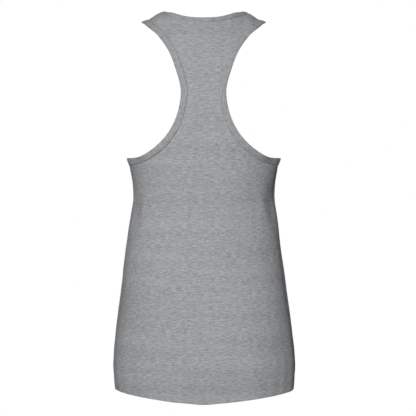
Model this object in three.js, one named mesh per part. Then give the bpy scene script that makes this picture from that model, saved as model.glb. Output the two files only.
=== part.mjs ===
// A racerback tank top in heather jersey, filled out as it is worn, with nothing inside it.
// Millimetres. +Z is up, +Y is the way the wearer faces and +X is the wearer's right.
// The origin is midway between the tops of the two shoulder straps, where the shoulders carry the cloth.
// Five cut pieces: a back, a front, a binding round the neck and one round each armhole.

import * as THREE from "three";

// Driving dimensions
const BACK_LENGTH = 693; // from the top of a strap to the lowest point of the hem
const HEM_DIP = 12; // the hem hangs this much lower at the centre than at the sides
const HEM_ROUNDING = 5.5; // 1 spreads the dip evenly round the hem, more keeps it to the centre
const CLOTH = 1.2; // wall of a single layer
const BINDING = 2.2; // wall of a folded binding
const HEM = { height: 22, wall: 2.2, step: 2, rows: 3 }; // turned up inside, with a step above it
const HEM_CORNER = { turn: 90, halfWidth: 34, rise: 2.6 }; // degrees: the hem is drawn up at the sides
const ARMHOLE_BINDING_WIDTH = 12.5;
const NECK_BINDING_WIDTH = 10;
const SEAM_GAP = 0.3;
const SIDE_SEAM = THREE.MathUtils.degToRad(80); // round from the centre back, a little behind the side
const SHOULDER_SEAM_FORWARD = 8; // the seam lies this far in front of the strap's top
const SQUARENESS = 2.3; // 2 gives oval level sections, more gives flatter backs and fronts

// The filled-out form as level sections: how far below the strap tops, half the width across,
// and how far the cloth stands behind and in front of the shoulder line.
const sections = [
  { below: 0, half: 168, behind: 0, before: 0 },
  { below: 10, half: 168, behind: 29, before: 27 },
  { below: 25, half: 168, behind: 45, before: 41 },
  { below: 60, half: 167, behind: 70, before: 60 },
  { below: 100, half: 165, behind: 86, before: 76 },
  { below: 150, half: 160, behind: 96, before: 93 },
  { below: 205, half: 150, behind: 100, before: 111 },
  { below: 264, half: 136, behind: 98, before: 124 },
  { below: 285, half: 131.5, behind: 96, before: 126 },
  { below: 310, half: 127.5, behind: 93, before: 125.5 },
  { below: 335, half: 126.5, behind: 90, before: 123 },
  { below: 375, half: 132.5, behind: 89, before: 118 },
  { below: 420, half: 138.5, behind: 92, before: 114 },
  { below: 505, half: 149, behind: 103, before: 112 },
  { below: 590, half: 159.5, behind: 112, before: 114 },
  { below: 635, half: 163, behind: 113.5, before: 114.5 },
  { below: 665, half: 161, behind: 112, before: 113 },
  { below: 700, half: 157, behind: 107, before: 110 },
];

// The shoulder line rises from the armholes to the neck: an even slope, rounded where the neck stands.
const shoulder = { rise: 20, slope: 0.588, neckRound: 55, fadesBelow: 173 };
// The straps roll a little about that slope: a flattened top, a round shoulder and a dip before the binding.
const strapWaves = [
  { across: 66, halfWidth: 13, height: -2.2 },
  { across: 83, halfWidth: 9, height: 1.2 },
  { across: 99, halfWidth: 11, height: -1.2 },
];

// Soft folds. turn is degrees round from the centre back towards the wearer's right at the fold's foot, and
// lean is how many degrees it comes round on its way down. top and foot are mm below the strap tops: a fold
// whose foot is at the hem grows all the way down, and the others fade out at both ends.
const AT_HEM = BACK_LENGTH;
const folds = [
  { turn: 62, lean: -4, top: 282, foot: 440, halfWidth: 12, height: -2.6 },
  { turn: -61, lean: 3, top: 290, foot: 430, halfWidth: 11, height: -1.8 },
  { turn: 33, lean: 6, top: 430, foot: AT_HEM, halfWidth: 11, height: 1.6 },
  { turn: -22, lean: -5, top: 470, foot: AT_HEM, halfWidth: 13, height: 1.8 },
  { turn: -50, lean: -3, top: 520, foot: AT_HEM, halfWidth: 9, height: -1.5 },
  { turn: 69, lean: 2, top: 500, foot: AT_HEM, halfWidth: 10, height: 1.9 },
  { turn: 114, lean: -4, top: 400, foot: AT_HEM, halfWidth: 10, height: 2.4 },
  { turn: 137, lean: 5, top: 350, foot: AT_HEM, halfWidth: 9, height: -2.2 },
  { turn: 160, lean: 3, top: 300, foot: AT_HEM, halfWidth: 11, height: 3.2 },
  { turn: -176, lean: -4, top: 380, foot: AT_HEM, halfWidth: 10, height: -2.2 },
  { turn: -152, lean: -6, top: 320, foot: AT_HEM, halfWidth: 13, height: 3 },
  { turn: -118, lean: 5, top: 420, foot: AT_HEM, halfWidth: 11, height: 2.2 },
];

// Finished edges, seen from behind or in front: how far across from the centre, and how far down.
const backNeckEdge = [
  { across: 0, below: 17.6 },
  { across: 25, below: 16 },
  { across: 47, below: 9.8 },
  { across: 61, below: 5.2 },
];
const frontNeckEdge = [
  { across: 66, below: 8 },
  { across: 57, below: 21 },
  { across: 44, below: 36 },
  { across: 25, below: 49 },
  { across: 0, below: 55 },
];
const backArmholeEdge = [
  { across: 112.4, below: 263 },
  { across: 92, below: 252.5 },
  { across: 69, below: 232.3 },
  { across: 52.8, below: 208 },
  { across: 42.3, below: 177 },
  { across: 39.6, below: 150 },
  { across: 48, below: 114 },
  { across: 60.3, below: 81 },
  { across: 80, below: 51 },
  { across: 97, below: 34.5 },
];
const frontArmholeEdge = [
  { across: 98, below: 26 },
  { across: 88.5, below: 33 },
  { across: 69, below: 53 },
  { across: 55, below: 81 },
  { across: 44.5, below: 113 },
  { across: 40.5, below: 142 },
  { across: 44, below: 168 },
  { across: 58, below: 204 },
  { across: 77, below: 230 },
  { across: 100, below: 250 },
  { across: 121, below: 262.6 },
];
const NECK_TOP = 70; // where the neck edge crosses the shoulder line
const ARMHOLE_TOP = 111; // where the armhole edge crosses it
const UNDERARM = 264.6; // the armhole's lowest point, at the side seam

// How finely each half panel is faceted. Its body runs from the hem up to a line across at turnsAt,
// and its upper part climbs from there, between the centre line or neck and the armhole, to the shoulder.
const COLUMNS = { upper: 6, armhole: 10 };
const BODY_ROWS = 22; // above the hem's step
const UPPER_ROWS = { back: { centre: 10, neck: 8 }, front: { centre: 8, neck: 10 } };
const TURNS_AT = { back: 213, front: 205 };

const HALF_TURN = Math.PI;
const QUARTER_TURN = Math.PI / 2;
const NUDGE = 1e-4; // step for slopes

// A natural cubic spline through (xs, ys), as a function.
function spline(xs, ys) {
  const last = xs.length - 1;
  const bend = new Array(last + 1).fill(0);
  const scratch = new Array(last + 1).fill(0);
  for (let i = 1; i < last; i++) {
    const share = (xs[i] - xs[i - 1]) / (xs[i + 1] - xs[i - 1]);
    const pivot = share * bend[i - 1] + 2;
    const change = (ys[i + 1] - ys[i]) / (xs[i + 1] - xs[i]) - (ys[i] - ys[i - 1]) / (xs[i] - xs[i - 1]);
    bend[i] = (share - 1) / pivot;
    scratch[i] = ((6 * change) / (xs[i + 1] - xs[i - 1]) - share * scratch[i - 1]) / pivot;
  }
  for (let i = last - 1; i >= 0; i--) bend[i] = bend[i] * bend[i + 1] + scratch[i];
  return (x) => {
    let i = 0;
    while (i < last - 1 && x > xs[i + 1]) i++;
    const step = xs[i + 1] - xs[i];
    const after = (x - xs[i]) / step;
    const before = 1 - after;
    const curve = (before ** 3 - before) * bend[i] + (after ** 3 - after) * bend[i + 1];
    return before * ys[i] + after * ys[i + 1] + (curve * step * step) / 6;
  };
}

// A place on the cloth is { around, level }. around is the angle from the centre line of the back or front.
// level is 0 on the shoulder line, grows to about 1 at the back hem and falls to about -1 at the front hem;
// its square is the share of the length, so that the cloth turns over the shoulder without a crease.
const levelAt = (below) => Math.sqrt(below / BACK_LENGTH);
const place = (around, level) => ({ around, level });
const ends = sections.slice(1);
const levels = [...ends.map((s) => -levelAt(s.below)).reverse(), 0, ...ends.map((s) => levelAt(s.below))];
const halves = [...ends.map((s) => s.half).reverse(), sections[0].half, ...ends.map((s) => s.half)];
const depths = [...ends.map((s) => s.before).reverse(), 0, ...ends.map((s) => -s.behind)];
const halfWidthAt = spline(levels, halves);
const depthAt = spline(levels, depths);

// A soft swell: 1 in its middle, and 0 from one half width away.
function swell(apart) {
  return Math.abs(apart) < 1 ? Math.cos(QUARTER_TURN * apart) ** 2 : 0;
}

function shoulderLine(across) {
  const { rise, slope, neckRound } = shoulder;
  let height = rise - slope * (Math.hypot(across, neckRound) - neckRound);
  for (const wave of strapWaves) {
    height += wave.height * swell((Math.abs(across) - wave.across) / wave.halfWidth);
  }
  return height;
}

function shoulderShare(level) {
  return 1 - THREE.MathUtils.smoothstep(Math.abs(level), 0, levelAt(shoulder.fadesBelow));
}

// How far the folds lift the cloth at a place.
function foldHeight(around, level) {
  const degrees = THREE.MathUtils.radToDeg(Math.abs(around));
  const turn = Math.sign(around) * (level >= 0 ? degrees : 180 - degrees);
  const below = BACK_LENGTH * level * level;
  let height = 0;
  for (const fold of folds) {
    const down = THREE.MathUtils.clamp((below - fold.top) / (fold.foot - fold.top), 0, 1);
    const centre = fold.turn - fold.lean * (1 - down);
    const apart = (((turn - centre + 540) % 360) - 180) / fold.halfWidth;
    const growing = THREE.MathUtils.smoothstep(down, 0, 1);
    const strength = fold.foot === AT_HEM ? growing : Math.sin(Math.PI * down) ** 2;
    height += fold.height * strength * swell(apart);
  }
  return height;
}

function onCloth({ around, level }) {
  const sine = Math.sin(around);
  const cosine = Math.cos(around);
  const reach = (Math.abs(sine) ** SQUARENESS + Math.abs(cosine) ** SQUARENESS) ** (-1 / SQUARENESS);
  const x = halfWidthAt(level) * reach * sine;
  const y = depthAt(cosine < 0 ? -level : level) * reach * Math.abs(cosine);
  const z = shoulderLine(x) * shoulderShare(level) - BACK_LENGTH * level * level;
  const lift = foldHeight(around, level) / Math.hypot(x, y, 1);
  return new THREE.Vector3(x * (1 + lift), y * (1 + lift), z);
}

function slopes({ around, level }) {
  const round = onCloth(place(around + NUDGE, level)).sub(onCloth(place(around - NUDGE, level)));
  const along = onCloth(place(around, level + NUDGE)).sub(onCloth(place(around, level - NUDGE)));
  return { round: round.divideScalar(2 * NUDGE), along: along.divideScalar(2 * NUDGE) };
}

function outward(at) {
  const { round, along } = slopes(at);
  return along.cross(round).normalize();
}

// The place that lies nearest to a point in space, found from a place near it.
function nearest(start, target) {
  let at = start;
  for (let step = 0; step < 6; step++) {
    const { round, along } = slopes(at);
    const miss = target.clone().sub(onCloth(at));
    const rr = round.dot(round);
    const ra = round.dot(along);
    const aa = along.dot(along);
    const mr = miss.dot(round);
    const ma = miss.dot(along);
    const size = rr * aa - ra * ra;
    at = place(at.around + (mr * aa - ma * ra) / size, at.level + (ma * rr - mr * ra) / size);
  }
  return at;
}

// The place seen at a distance across and below, on the back (side 1) or the front (side -1).
function seenAt({ across, below }, side) {
  let low = 0;
  let high = 1.1;
  for (let step = 0; step < 50; step++) {
    const level = (low + high) / 2;
    const drop = BACK_LENGTH * level * level - shoulderLine(across) * shoulderShare(level);
    if (drop < below) low = level;
    else high = level;
  }
  const share = Math.min(across / halfWidthAt(low), 1);
  const around = Math.atan2(share, (1 - share ** SQUARENESS) ** (1 / SQUARENESS));
  return place(around, side * low);
}

// The same place given from the other side of the garment, for points near the side seams.
const fromTheOtherSide = ({ around, level }) => place(HALF_TURN - around, -level);

// A smooth curve through places, as a function of the length along it, from 0 at its start to 1 at its end.
// The first and last places only steer it.
function curveThrough(places) {
  const points = places.map(onCloth);
  const knots = [0];
  for (let i = 1; i < points.length; i++) knots.push(knots[i - 1] + points[i].distanceTo(points[i - 1]));
  const aroundAt = spline(knots, places.map((p) => p.around));
  const levelOn = spline(knots, places.map((p) => p.level));
  const from = knots[1];
  const to = knots[knots.length - 2];
  const FINE = 400;
  const placeAt = (k) => {
    const knot = from + ((to - from) * k) / FINE;
    return place(aroundAt(knot), levelOn(knot));
  };
  const lengths = [0];
  let previous = onCloth(placeAt(0));
  for (let k = 1; k <= FINE; k++) {
    const point = onCloth(placeAt(k));
    lengths.push(lengths[k - 1] + point.distanceTo(previous));
    previous = point;
  }
  return (share) => {
    const wanted = share * lengths[FINE];
    let k = 0;
    while (k < FINE - 1 && lengths[k + 1] < wanted) k++;
    return placeAt(k + (wanted - lengths[k]) / (lengths[k + 1] - lengths[k]));
  };
}

// The share between from and to at which a measure of it passes a value.
function shareWhere(measure, value, from, to) {
  const rising = measure(to) > measure(from);
  let low = from;
  let high = to;
  for (let step = 0; step < 40; step++) {
    const middle = (low + high) / 2;
    if (measure(middle) < value === rising) low = middle;
    else high = middle;
  }
  return low;
}

// Evenly spaced shares through a list of stops, with a number of steps between each two.
function sharesThrough(stops, steps) {
  const shares = [stops[0]];
  steps.forEach((count, leg) => {
    for (let i = 1; i <= count; i++) shares.push(stops[leg] + ((stops[leg + 1] - stops[leg]) * i) / count);
  });
  return shares;
}

// The finished edges as curves over the shoulder
let shoulderSeamLevel = 0;
while (depthAt(shoulderSeamLevel) < SHOULDER_SEAM_FORWARD) shoulderSeamLevel -= NUDGE;
const onShoulderLine = (across) => seenAt({ across, below: -shoulderLine(across) }, 1);
const backOf = (edge) => edge.map((point) => seenAt(point, 1));
const frontOf = (edge) => edge.map((point) => seenAt(point, -1));
const mirrored = ({ around, level }) => place(-around, level);

const backNeck = backOf(backNeckEdge);
const frontNeck = frontOf(frontNeckEdge);
const neckEdge = curveThrough([
  mirrored(backNeck[1]),
  ...backNeck,
  onShoulderLine(NECK_TOP),
  ...frontNeck,
  mirrored(frontNeck.at(-2)),
]);

const backArmhole = backOf(backArmholeEdge);
const frontArmhole = frontOf(frontArmholeEdge);
const armholeEdge = curveThrough([
  fromTheOtherSide(frontArmhole.at(-1)),
  place(SIDE_SEAM, levelAt(UNDERARM)),
  ...backArmhole,
  onShoulderLine(ARMHOLE_TOP),
  ...frontArmhole,
  fromTheOtherSide(place(SIDE_SEAM, levelAt(UNDERARM))),
  fromTheOtherSide(backArmhole[0]),
]);

// A station on an edge knows its place, and the way along the cloth towards the panel.
function stationOn(curve, share, panelSide) {
  const reach = 1e-3;
  const at = curve(share);
  const along = onCloth(curve(share + reach)).sub(onCloth(curve(share - reach))).normalize();
  if (Math.abs(at.around) < 1e-6) {
    at.around = 0;
    along.set(Math.sign(along.x), 0, 0);
  }
  return { at, inward: outward(at).cross(along).multiplyScalar(panelSide).normalize() };
}

// The place a distance in from a finished edge.
function inFrom(station, distance) {
  return nearest(station.at, onCloth(station.at).addScaledVector(station.inward, distance));
}

// The stations of each edge, and the places of the seam between its binding and the panels.
const neckStation = (share) => stationOn(neckEdge, share, -1);
const neckSeamPlace = (station) => inFrom(station, NECK_BINDING_WIDTH + SEAM_GAP / 2);
const armholeStation = (share) => stationOn(armholeEdge, share, 1);
const armholeSeamPlace = (station) => inFrom(station, ARMHOLE_BINDING_WIDTH + SEAM_GAP / 2);
const neckSeamLevel = (share) => neckSeamPlace(neckStation(share)).level;
const armholeSeamLevel = (share) => armholeSeamPlace(armholeStation(share)).level;

const upperRows = UPPER_ROWS.back.centre + UPPER_ROWS.back.neck;
const neckShoulder = shareWhere(neckSeamLevel, shoulderSeamLevel, 0, 1);
const neckStations = sharesThrough(
  [0, neckShoulder, 1],
  [UPPER_ROWS.back.neck, UPPER_ROWS.front.neck],
).map(neckStation);
const armholeShoulder = shareWhere(armholeSeamLevel, shoulderSeamLevel, 0, 1);
const backTurn = shareWhere(armholeSeamLevel, levelAt(TURNS_AT.back), 0, armholeShoulder);
const frontTurn = shareWhere(armholeSeamLevel, -levelAt(TURNS_AT.front), armholeShoulder, 1);
const armholeStations = sharesThrough(
  [0, backTurn, armholeShoulder, frontTurn, 1],
  [COLUMNS.armhole, upperRows, upperRows, COLUMNS.armhole],
).map(armholeStation);

// A grid of places that fills the space between four lines of places, with the corners shared.
function fill(bottom, top, left, right, rows) {
  const wide = bottom.length - 1;
  return rows.map((t, j) =>
    bottom.map((_, i) => {
      const s = i / wide;
      const mix = (key) =>
        (1 - t) * bottom[i][key] +
        t * top[i][key] +
        (1 - s) * left[j][key] +
        s * right[j][key] -
        (1 - s) * (1 - t) * bottom[0][key] -
        s * (1 - t) * bottom[wide][key] -
        (1 - s) * t * top[0][key] -
        s * t * top[wide][key];
      return place(mix("around"), mix("level"));
    }),
  );
}

const blend = (a, b, t) =>
  place(a.around + (b.around - a.around) * t, a.level + (b.level - a.level) * t);

// Places evenly from a to b.
const between = (a, b, count) => Array.from({ length: count + 1 }, (_, i) => blend(a, b, i / count));

// The rows of a body as shares of its height: the hem's edge, middle and top, its step, and evenly on.
function bodyRows(tall) {
  const rows = [0, HEM.height / 2, HEM.height];
  const start = HEM.height + HEM.step;
  for (let j = 0; j < BODY_ROWS; j++) rows.push(start + ((tall - start) * j) / (BODY_ROWS - 1));
  return rows.map((height) => height / tall);
}

function hemPlace(around, side) {
  const dip = HEM_DIP * Math.abs(Math.cos(around)) ** HEM_ROUNDING;
  const fromCorner = THREE.MathUtils.radToDeg(Math.abs(around)) - HEM_CORNER.turn;
  const drawnUp = HEM_CORNER.rise * swell(fromCorner / HEM_CORNER.halfWidth);
  return place(around, side * levelAt(BACK_LENGTH - HEM_DIP + dip - drawnUp));
}

// A line of places from the hem up to a place, one on each row of the body.
function lineUp(bottom, top) {
  const tall = BACK_LENGTH * (bottom.level ** 2 - top.level ** 2);
  return bodyRows(tall).map((t) => {
    const level = Math.sqrt((1 - t) * bottom.level ** 2 + t * top.level ** 2);
    return place((1 - t) * bottom.around + t * top.around, Math.sign(bottom.level) * level);
  });
}

// Each panel stops half a gap short of its seams with the other panel.
const SEAM_SHIFT = {
  around: SEAM_GAP / 2 / slopes(place(SIDE_SEAM, levelAt(UNDERARM))).round.length(),
  level: SEAM_GAP / 2 / slopes(place(QUARTER_TURN / 2, shoulderSeamLevel)).along.length(),
};

// A line whose last place is drawn back along it to where a measure of it has a value.
function endingAt(line, key, value) {
  const [inner, last] = line.slice(-2);
  return [...line.slice(0, -1), blend(inner, last, (value - inner[key]) / (last[key] - inner[key]))];
}

// The right half of the back (side 1) or the front (side -1) as two grids. The neck line is given from
// the centre to the shoulder, and the armhole line from the side seam to the shoulder.
function halfPanel(side, neckLine, armholeLine, turnsAt) {
  const seam = (side > 0 ? SIDE_SEAM : HALF_TURN - SIDE_SEAM) - SEAM_SHIFT.around;
  const shoulderLevel = shoulderSeamLevel + side * SEAM_SHIFT.level;
  const neck = endingAt(neckLine, "level", shoulderLevel);
  const armhole = endingAt(armholeLine, "level", shoulderLevel);
  const underarm = endingAt(armhole.slice(0, COLUMNS.armhole + 1).reverse(), "around", seam);

  const foot = place(0, side * levelAt(turnsAt));
  const bodyTop = [...between(foot, underarm[0], COLUMNS.upper), ...underarm.slice(1)];
  const last = bodyTop.length - 1;
  const hem = bodyTop.map((_, i) => hemPlace((seam * i) / last, side));
  const rows = bodyRows(BACK_LENGTH - UNDERARM);
  const body = fill(hem, bodyTop, lineUp(hem[0], foot), lineUp(hem[last], bodyTop[last]), rows);

  const centreLine = between(foot, neck[0], upperRows - neckLine.length + 1);
  const inner = [...centreLine, ...neck.slice(1)];
  const outer = armhole.slice(COLUMNS.armhole);
  const upper = inner.map((at, j) => between(at, outer[j], COLUMNS.upper));
  return { body, upper };
}

const neckSeam = neckStations.map(neckSeamPlace);
const armholeSeam = armholeStations.map(armholeSeamPlace);
const overShoulder = COLUMNS.armhole + upperRows;
const backHalf = halfPanel(
  1,
  neckSeam.slice(0, UPPER_ROWS.back.neck + 1),
  armholeSeam.slice(0, overShoulder + 1),
  TURNS_AT.back,
);
const frontHalf = halfPanel(
  -1,
  neckSeam.slice(UPPER_ROWS.back.neck).reverse(),
  armholeSeam.slice(overShoulder).reverse(),
  TURNS_AT.front,
);

const WELD = 0.02; // places nearer than this are one

function meshOf(positions) {
  return new THREE.BufferGeometry().setAttribute("position", new THREE.Float32BufferAttribute(positions, 3));
}

// A closed wall from a grid of places: its outer face, its inner face and a strip round every free edge.
class Wall {
  constructor() {
    this.index = new Map();
    this.outer = [];
    this.inner = [];
    this.triangles = [];
  }

  vertex(at, outerLift, innerLift) {
    const middle = onCloth(at);
    const key = [middle.x, middle.y, middle.z].map((v) => Math.round(v / WELD)).join();
    if (!this.index.has(key)) {
      const normal = outward(at);
      this.index.set(key, this.outer.length);
      this.outer.push(middle.clone().addScaledVector(normal, outerLift));
      this.inner.push(middle.clone().addScaledVector(normal, -innerLift));
    }
    return this.index.get(key);
  }

  // Four corners, anticlockwise as seen from outside.
  square(a, b, c, d) {
    this.triangles.push([a, b, c], [a, c, d]);
  }

  geometry() {
    const positions = [];
    const face = (...points) => points.forEach((p) => positions.push(p.x, p.y, p.z));
    const used = new Set();
    for (const [a, b, c] of this.triangles) {
      face(this.outer[a], this.outer[b], this.outer[c]);
      face(this.inner[a], this.inner[c], this.inner[b]);
      for (const [p, q] of [
        [a, b],
        [b, c],
        [c, a],
      ])
        used.add(p + "," + q);
    }
    for (const edge of used) {
      const [p, q] = edge.split(",").map(Number);
      if (used.has(q + "," + p)) continue;
      face(this.outer[q], this.outer[p], this.inner[p]);
      face(this.outer[q], this.inner[p], this.inner[q]);
    }
    return meshOf(positions);
  }
}

// A whole panel: the right half and its mirror image. The lowest rows are the hem, thickened inwards.
function panelGeometry({ body, upper }, side) {
  const wall = new Wall();
  const addGrid = (grid, hemRows) => {
    for (const turn of [1, -1]) {
      const ids = grid.map((row, j) =>
        row.map(({ around, level }) => {
          const inner = j < hemRows ? HEM.wall - CLOTH / 2 : CLOTH / 2;
          return wall.vertex(place(turn * around, level), CLOTH / 2, inner);
        }),
      );
      for (let j = 0; j + 1 < ids.length; j++)
        for (let i = 0; i + 1 < ids[j].length; i++) {
          const corners = [ids[j][i], ids[j][i + 1], ids[j + 1][i + 1], ids[j + 1][i]];
          if (turn * side < 0) corners.reverse();
          wall.square(...corners);
        }
    }
  };
  addGrid(body, HEM.rows);
  addGrid(upper, 0);
  return wall.geometry();
}

// A binding's cross-section: how far in from the finished edge, and how far out from the cloth's middle.
const foldedEdge = { lift: 0.5, shoulder: 1.2 };
const bindingSection = (width) => [
  { inset: 0, lift: foldedEdge.lift },
  { inset: foldedEdge.shoulder, lift: BINDING / 2 },
  { inset: width - SEAM_GAP / 2, lift: BINDING / 2 },
  { inset: width - SEAM_GAP / 2, lift: -BINDING / 2 },
  { inset: foldedEdge.shoulder, lift: -BINDING / 2 },
  { inset: 0, lift: -foldedEdge.lift },
];

// A closed ring of the section, swept through stations.
function bindingGeometry(stations, width, facing) {
  const rings = stations.map((station) =>
    bindingSection(width).map(({ inset, lift }) => {
      const at = inset ? inFrom(station, inset) : station.at;
      return onCloth(at).addScaledVector(outward(at), lift);
    }),
  );
  const positions = [];
  const face = (...points) => points.forEach((p) => positions.push(p.x, p.y, p.z));
  rings.forEach((ring, k) => {
    const next = rings[(k + 1) % rings.length];
    ring.forEach((_, i) => {
      const j = (i + 1) % ring.length;
      const corners = [ring[i], ring[j], next[j], next[i]];
      if (facing < 0) corners.reverse();
      const [a, b, c, d] = corners;
      face(a, b, c);
      face(a, c, d);
    });
  });
  return meshOf(positions);
}

function mirroredGeometry(geometry) {
  const flipped = geometry.clone().scale(-1, 1, 1);
  const position = flipped.getAttribute("position");
  for (let i = 0; i < position.count; i += 3) {
    const kept = new THREE.Vector3().fromBufferAttribute(position, i + 1);
    const moved = new THREE.Vector3().fromBufferAttribute(position, i + 2);
    position.setXYZ(i + 1, moved.x, moved.y, moved.z);
    position.setXYZ(i + 2, kept.x, kept.y, kept.z);
  }
  return flipped;
}

const mirroredStation = ({ at, inward }) => ({
  at: mirrored(at),
  inward: new THREE.Vector3(-inward.x, inward.y, inward.z),
});

// The garment
const heather = { color: 0x959698, roughness: 0.92, metalness: 0 };
const garment = new THREE.Group();

function addPiece(name, geometry) {
  const mesh = new THREE.Mesh(geometry, new THREE.MeshStandardMaterial(heather));
  mesh.name = name;
  garment.add(mesh);
}

addPiece("back_panel", panelGeometry(backHalf, 1));
addPiece("front_panel", panelGeometry(frontHalf, -1));

const neckRing = [...neckStations, ...neckStations.slice(1, -1).reverse().map(mirroredStation)];
addPiece("neck_binding", bindingGeometry(neckRing, NECK_BINDING_WIDTH, 1));

const armholeRing = armholeStations.slice(0, -1);
const rightBinding = bindingGeometry(armholeRing, ARMHOLE_BINDING_WIDTH, -1);
addPiece("armhole_binding_right", rightBinding);
addPiece("armhole_binding_left", mirroredGeometry(rightBinding));

export default garment;
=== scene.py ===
# A racerback tank top in light heather jersey, filled out as it is worn, seen from the back.
# The cloth is worked out in millimetres in the frame's own axes (+X the wearer's right, +Y forward, +Z up)
# and turned into metres where a mesh is made.

import math

import bpy
import numpy as np
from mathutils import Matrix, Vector


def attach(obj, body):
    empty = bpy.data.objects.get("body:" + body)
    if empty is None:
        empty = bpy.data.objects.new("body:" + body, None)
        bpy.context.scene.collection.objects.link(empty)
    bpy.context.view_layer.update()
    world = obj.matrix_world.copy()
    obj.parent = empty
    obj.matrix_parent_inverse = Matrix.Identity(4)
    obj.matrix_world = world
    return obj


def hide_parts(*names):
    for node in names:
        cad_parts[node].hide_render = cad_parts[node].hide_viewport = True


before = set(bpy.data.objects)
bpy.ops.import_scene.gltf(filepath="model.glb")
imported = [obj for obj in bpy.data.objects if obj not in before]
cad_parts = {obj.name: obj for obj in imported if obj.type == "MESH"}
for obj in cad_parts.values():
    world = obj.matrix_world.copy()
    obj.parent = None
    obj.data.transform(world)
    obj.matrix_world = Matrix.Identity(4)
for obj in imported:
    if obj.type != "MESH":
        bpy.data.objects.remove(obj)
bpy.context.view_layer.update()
MM = 0.001

# Driving sizes. The form, the edges and the bindings are the solids' own, and the hem's curve is finer here.
BACK_LENGTH = 693.0
HEM_SIDES = 681.0
HEM_DIP = 13.7
HEM_ROUNDING = 4.5
HEM_HEIGHT = 22.0
ARMHOLE_BINDING_WIDTH = 12.5
NECK_BINDING_WIDTH = 10.0
SEAM_GAP = 0.3
SIDE_SEAM = math.radians(80)
SHOULDER_SEAM_FORWARD = 8.0
SQUARENESS = 2.3

# The form as level sections: below the strap tops, half the width, depth behind and depth before
SECTIONS = (
    (0, 168, 0, 0),
    (10, 168, 29, 27),
    (25, 168, 45, 41),
    (60, 167, 70, 60),
    (100, 165, 86, 76),
    (150, 160, 96, 93),
    (205, 150, 100, 111),
    (264, 136, 98, 124),
    (285, 131.5, 96, 126),
    (310, 127.5, 93, 125.5),
    (335, 126.5, 90, 123),
    (375, 132.5, 89, 118),
    (420, 138.5, 92, 114),
    (505, 149, 103, 112),
    (590, 159.5, 112, 114),
    (635, 163, 113.5, 114.5),
    (665, 161, 112, 113),
    (700, 157, 107, 110),
)
SHOULDER_RISE = 20.0
SHOULDER_SLOPE = 0.588
NECK_ROUND = 55.0
SHOULDER_FADES_BELOW = 173.0
# The straps roll a little about the shoulder slope: across, half width and height
STRAP_WAVES = ((66, 13, -2.2), (83, 9, 1.2), (99, 11, -1.2))
# The hem is drawn up beside its corners and comes to a soft point in the middle: degrees round, half width
# in degrees, and how far up
HEM_TURNS = ((76.0, 30.0, 3.0), (0.0, 12.0, -1.6))
# The lowest part hangs a little to the right: top of the sway, its height, and how far
SWAY = {"top": 560.0, "height": 90.0, "right": 1.5}
# Above the hem the back and the front draw in a little: top of the turn, its height, and how far
DRAWN_IN = {"top": 616.0, "height": 75.0, "depth": 8.0}

# The folds that the solids have: degrees round from the centre back at the foot, degrees of lean on the way
# down, top and foot below the strap tops, half width in degrees, and height
AT_HEM = BACK_LENGTH
MAIN_FOLDS = (
    (62, -4, 282, 440, 12, -2.6),
    (-61, 3, 290, 430, 11, -1.8),
    (33, 6, 430, AT_HEM, 11, 1.6),
    (-22, -5, 470, AT_HEM, 13, 1.8),
    (-50, -3, 520, AT_HEM, 9, -1.5),
    (69, 2, 500, AT_HEM, 10, 1.9),
    (114, -4, 400, AT_HEM, 10, 2.4),
    (137, 5, 350, AT_HEM, 9, -2.2),
    (160, 3, 300, AT_HEM, 11, 3.2),
    (-176, -4, 380, AT_HEM, 10, -2.2),
    (-152, -6, 320, AT_HEM, 13, 3.0),
    (-118, 5, 420, AT_HEM, 11, 2.2),
)
# Finer creases that only the cloth here has, in the same columns
FINE_CREASES = (
    (73, -1, 286, 372, 9, -1.4),
    (61, -2, 340, 440, 11, 1.3),
    (76, 9, 225, 430, 4, 0.5),
    (84, 8, 290, 470, 5, -1.1),
    (54, 8, 296, 392, 6, 0.9),
    (-67, 6, 292, 366, 6, -0.9),
    (-55, -7, 300, 380, 6, 0.7),
    (12, 4, 300, 520, 7, 0.5),
    (-9, -3, 330, 560, 8, -0.5),
    (48, 9, 380, 540, 6, 0.6),
    (-40, -8, 390, 560, 6, 0.6),
    (76, 5, 400, 600, 5, -0.8),
    (-75, -4, 420, 620, 5, -0.7),
    (3, -4, 520, AT_HEM, 7, -0.7),
    (52, 3, 560, AT_HEM, 5, -0.8),
    (-66, 4, 560, AT_HEM, 5, 0.8),
    (-36, 2, 600, AT_HEM, 5, 0.6),
    (100, 4, 300, 430, 6, -1.3),
    (-104, -5, 300, 450, 6, -1.2),
    (146, -6, 300, 470, 6, 1.0),
    (-160, 6, 330, 520, 6, -1.0),
    (172, 3, 420, AT_HEM, 6, 1.0),
    (-133, -3, 480, AT_HEM, 6, -1.0),
    (124, 2, 560, AT_HEM, 5, -0.9),
)

# Finished edges: across from the centre, and below the strap tops
BACK_NECK = ((0, 17.6), (25, 16), (47, 9.8), (61, 5.2))
FRONT_NECK = ((66, 8), (57, 21), (44, 36), (25, 49), (0, 55))
BACK_ARMHOLE = (
    (112.4, 263),
    (92, 252.5),
    (69, 232.3),
    (52.8, 208),
    (42.3, 177),
    (39.6, 150),
    (48, 114),
    (60.3, 81),
    (80, 51),
    (97, 34.5),
)
FRONT_ARMHOLE = (
    (98, 26),
    (88.5, 33),
    (69, 53),
    (55, 81),
    (44.5, 113),
    (40.5, 142),
    (44, 168),
    (58, 204),
    (77, 230),
    (100, 250),
    (121, 262.6),
)
NECK_TOP = 70.0
ARMHOLE_TOP = 111.0
UNDERARM = 264.6
TURNS_AT_BACK = 213.0
TURNS_AT_FRONT = 205.0

# Fineness of the cloth meshes
UPPER_COLUMNS = 26
ARMHOLE_COLUMNS = 46
BODY_ROWS = 140
NECK_ROWS = 38
CENTRE_ROWS = 52
UPPER_ROWS = NECK_ROWS + CENTRE_ROWS

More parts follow.
